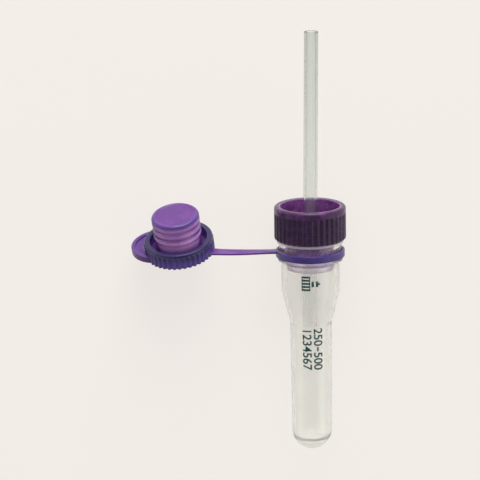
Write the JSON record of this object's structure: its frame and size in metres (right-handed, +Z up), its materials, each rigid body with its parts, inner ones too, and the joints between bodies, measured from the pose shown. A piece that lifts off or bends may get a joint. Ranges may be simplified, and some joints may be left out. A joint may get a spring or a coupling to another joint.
{
  "type": "blood collection tube",
  "caption": "Clear micro tube for finger-prick blood, with a ribbed adapter that holds a capillary in its mouth and a stopper hanging on a thin strap.",
  "frame": {"origin": "on the bench under the middle of the object as it lies", "axes": "+Y along the tube from its closed end towards the capillary, +Z up, the stopper out towards -X"},
  "size_m": [0.0398, 0.0794, 0.0137],
  "materials": {
    "clear_polypropylene": "smooth, slightly milky",
    "plum_polyethylene": "satin",
    "capillary_plastic": "smooth, clear",
    "violet_polyethylene": "satin, slightly see-through"
  },
  "bodies": {
    "tube": {"tube_body": "clear_polypropylene"},
    "adapter": {"capillary_adapter": "plum_polyethylene"},
    "capillary": {"capillary": "capillary_plastic"},
    "ring": {"tether_ring": "violet_polyethylene"},
    "stopper": {"stopper": "violet_polyethylene"}
  },
  "joints": [
    {"name": "adapter_pull", "type": "slide", "parent": "tube", "child": "adapter", "axis": [0, 0.9969, 0.0788], "range_m": [0, 0.02]},
    {"name": "capillary_slide", "type": "slide", "parent": "adapter", "child": "capillary", "axis": [0.014, 0.9968, 0.0788], "range_m": [-0.0205, 0.022]},
    {"name": "ring_swivel", "type": "hinge", "parent": "tube", "child": "ring", "pos_m": [0.01328, -0.00174, 0.00643], "axis": [0, 0.9969, 0.0788], "continuous": true},
    {"name": "strap_flex", "type": "hinge", "parent": "ring", "child": "stopper", "pos_m": [0.00089, -0.0015, 0.00798], "axis": [-0.1996, 0.269, -0.9422], "range_deg": [-110, 85]}
  ]
}
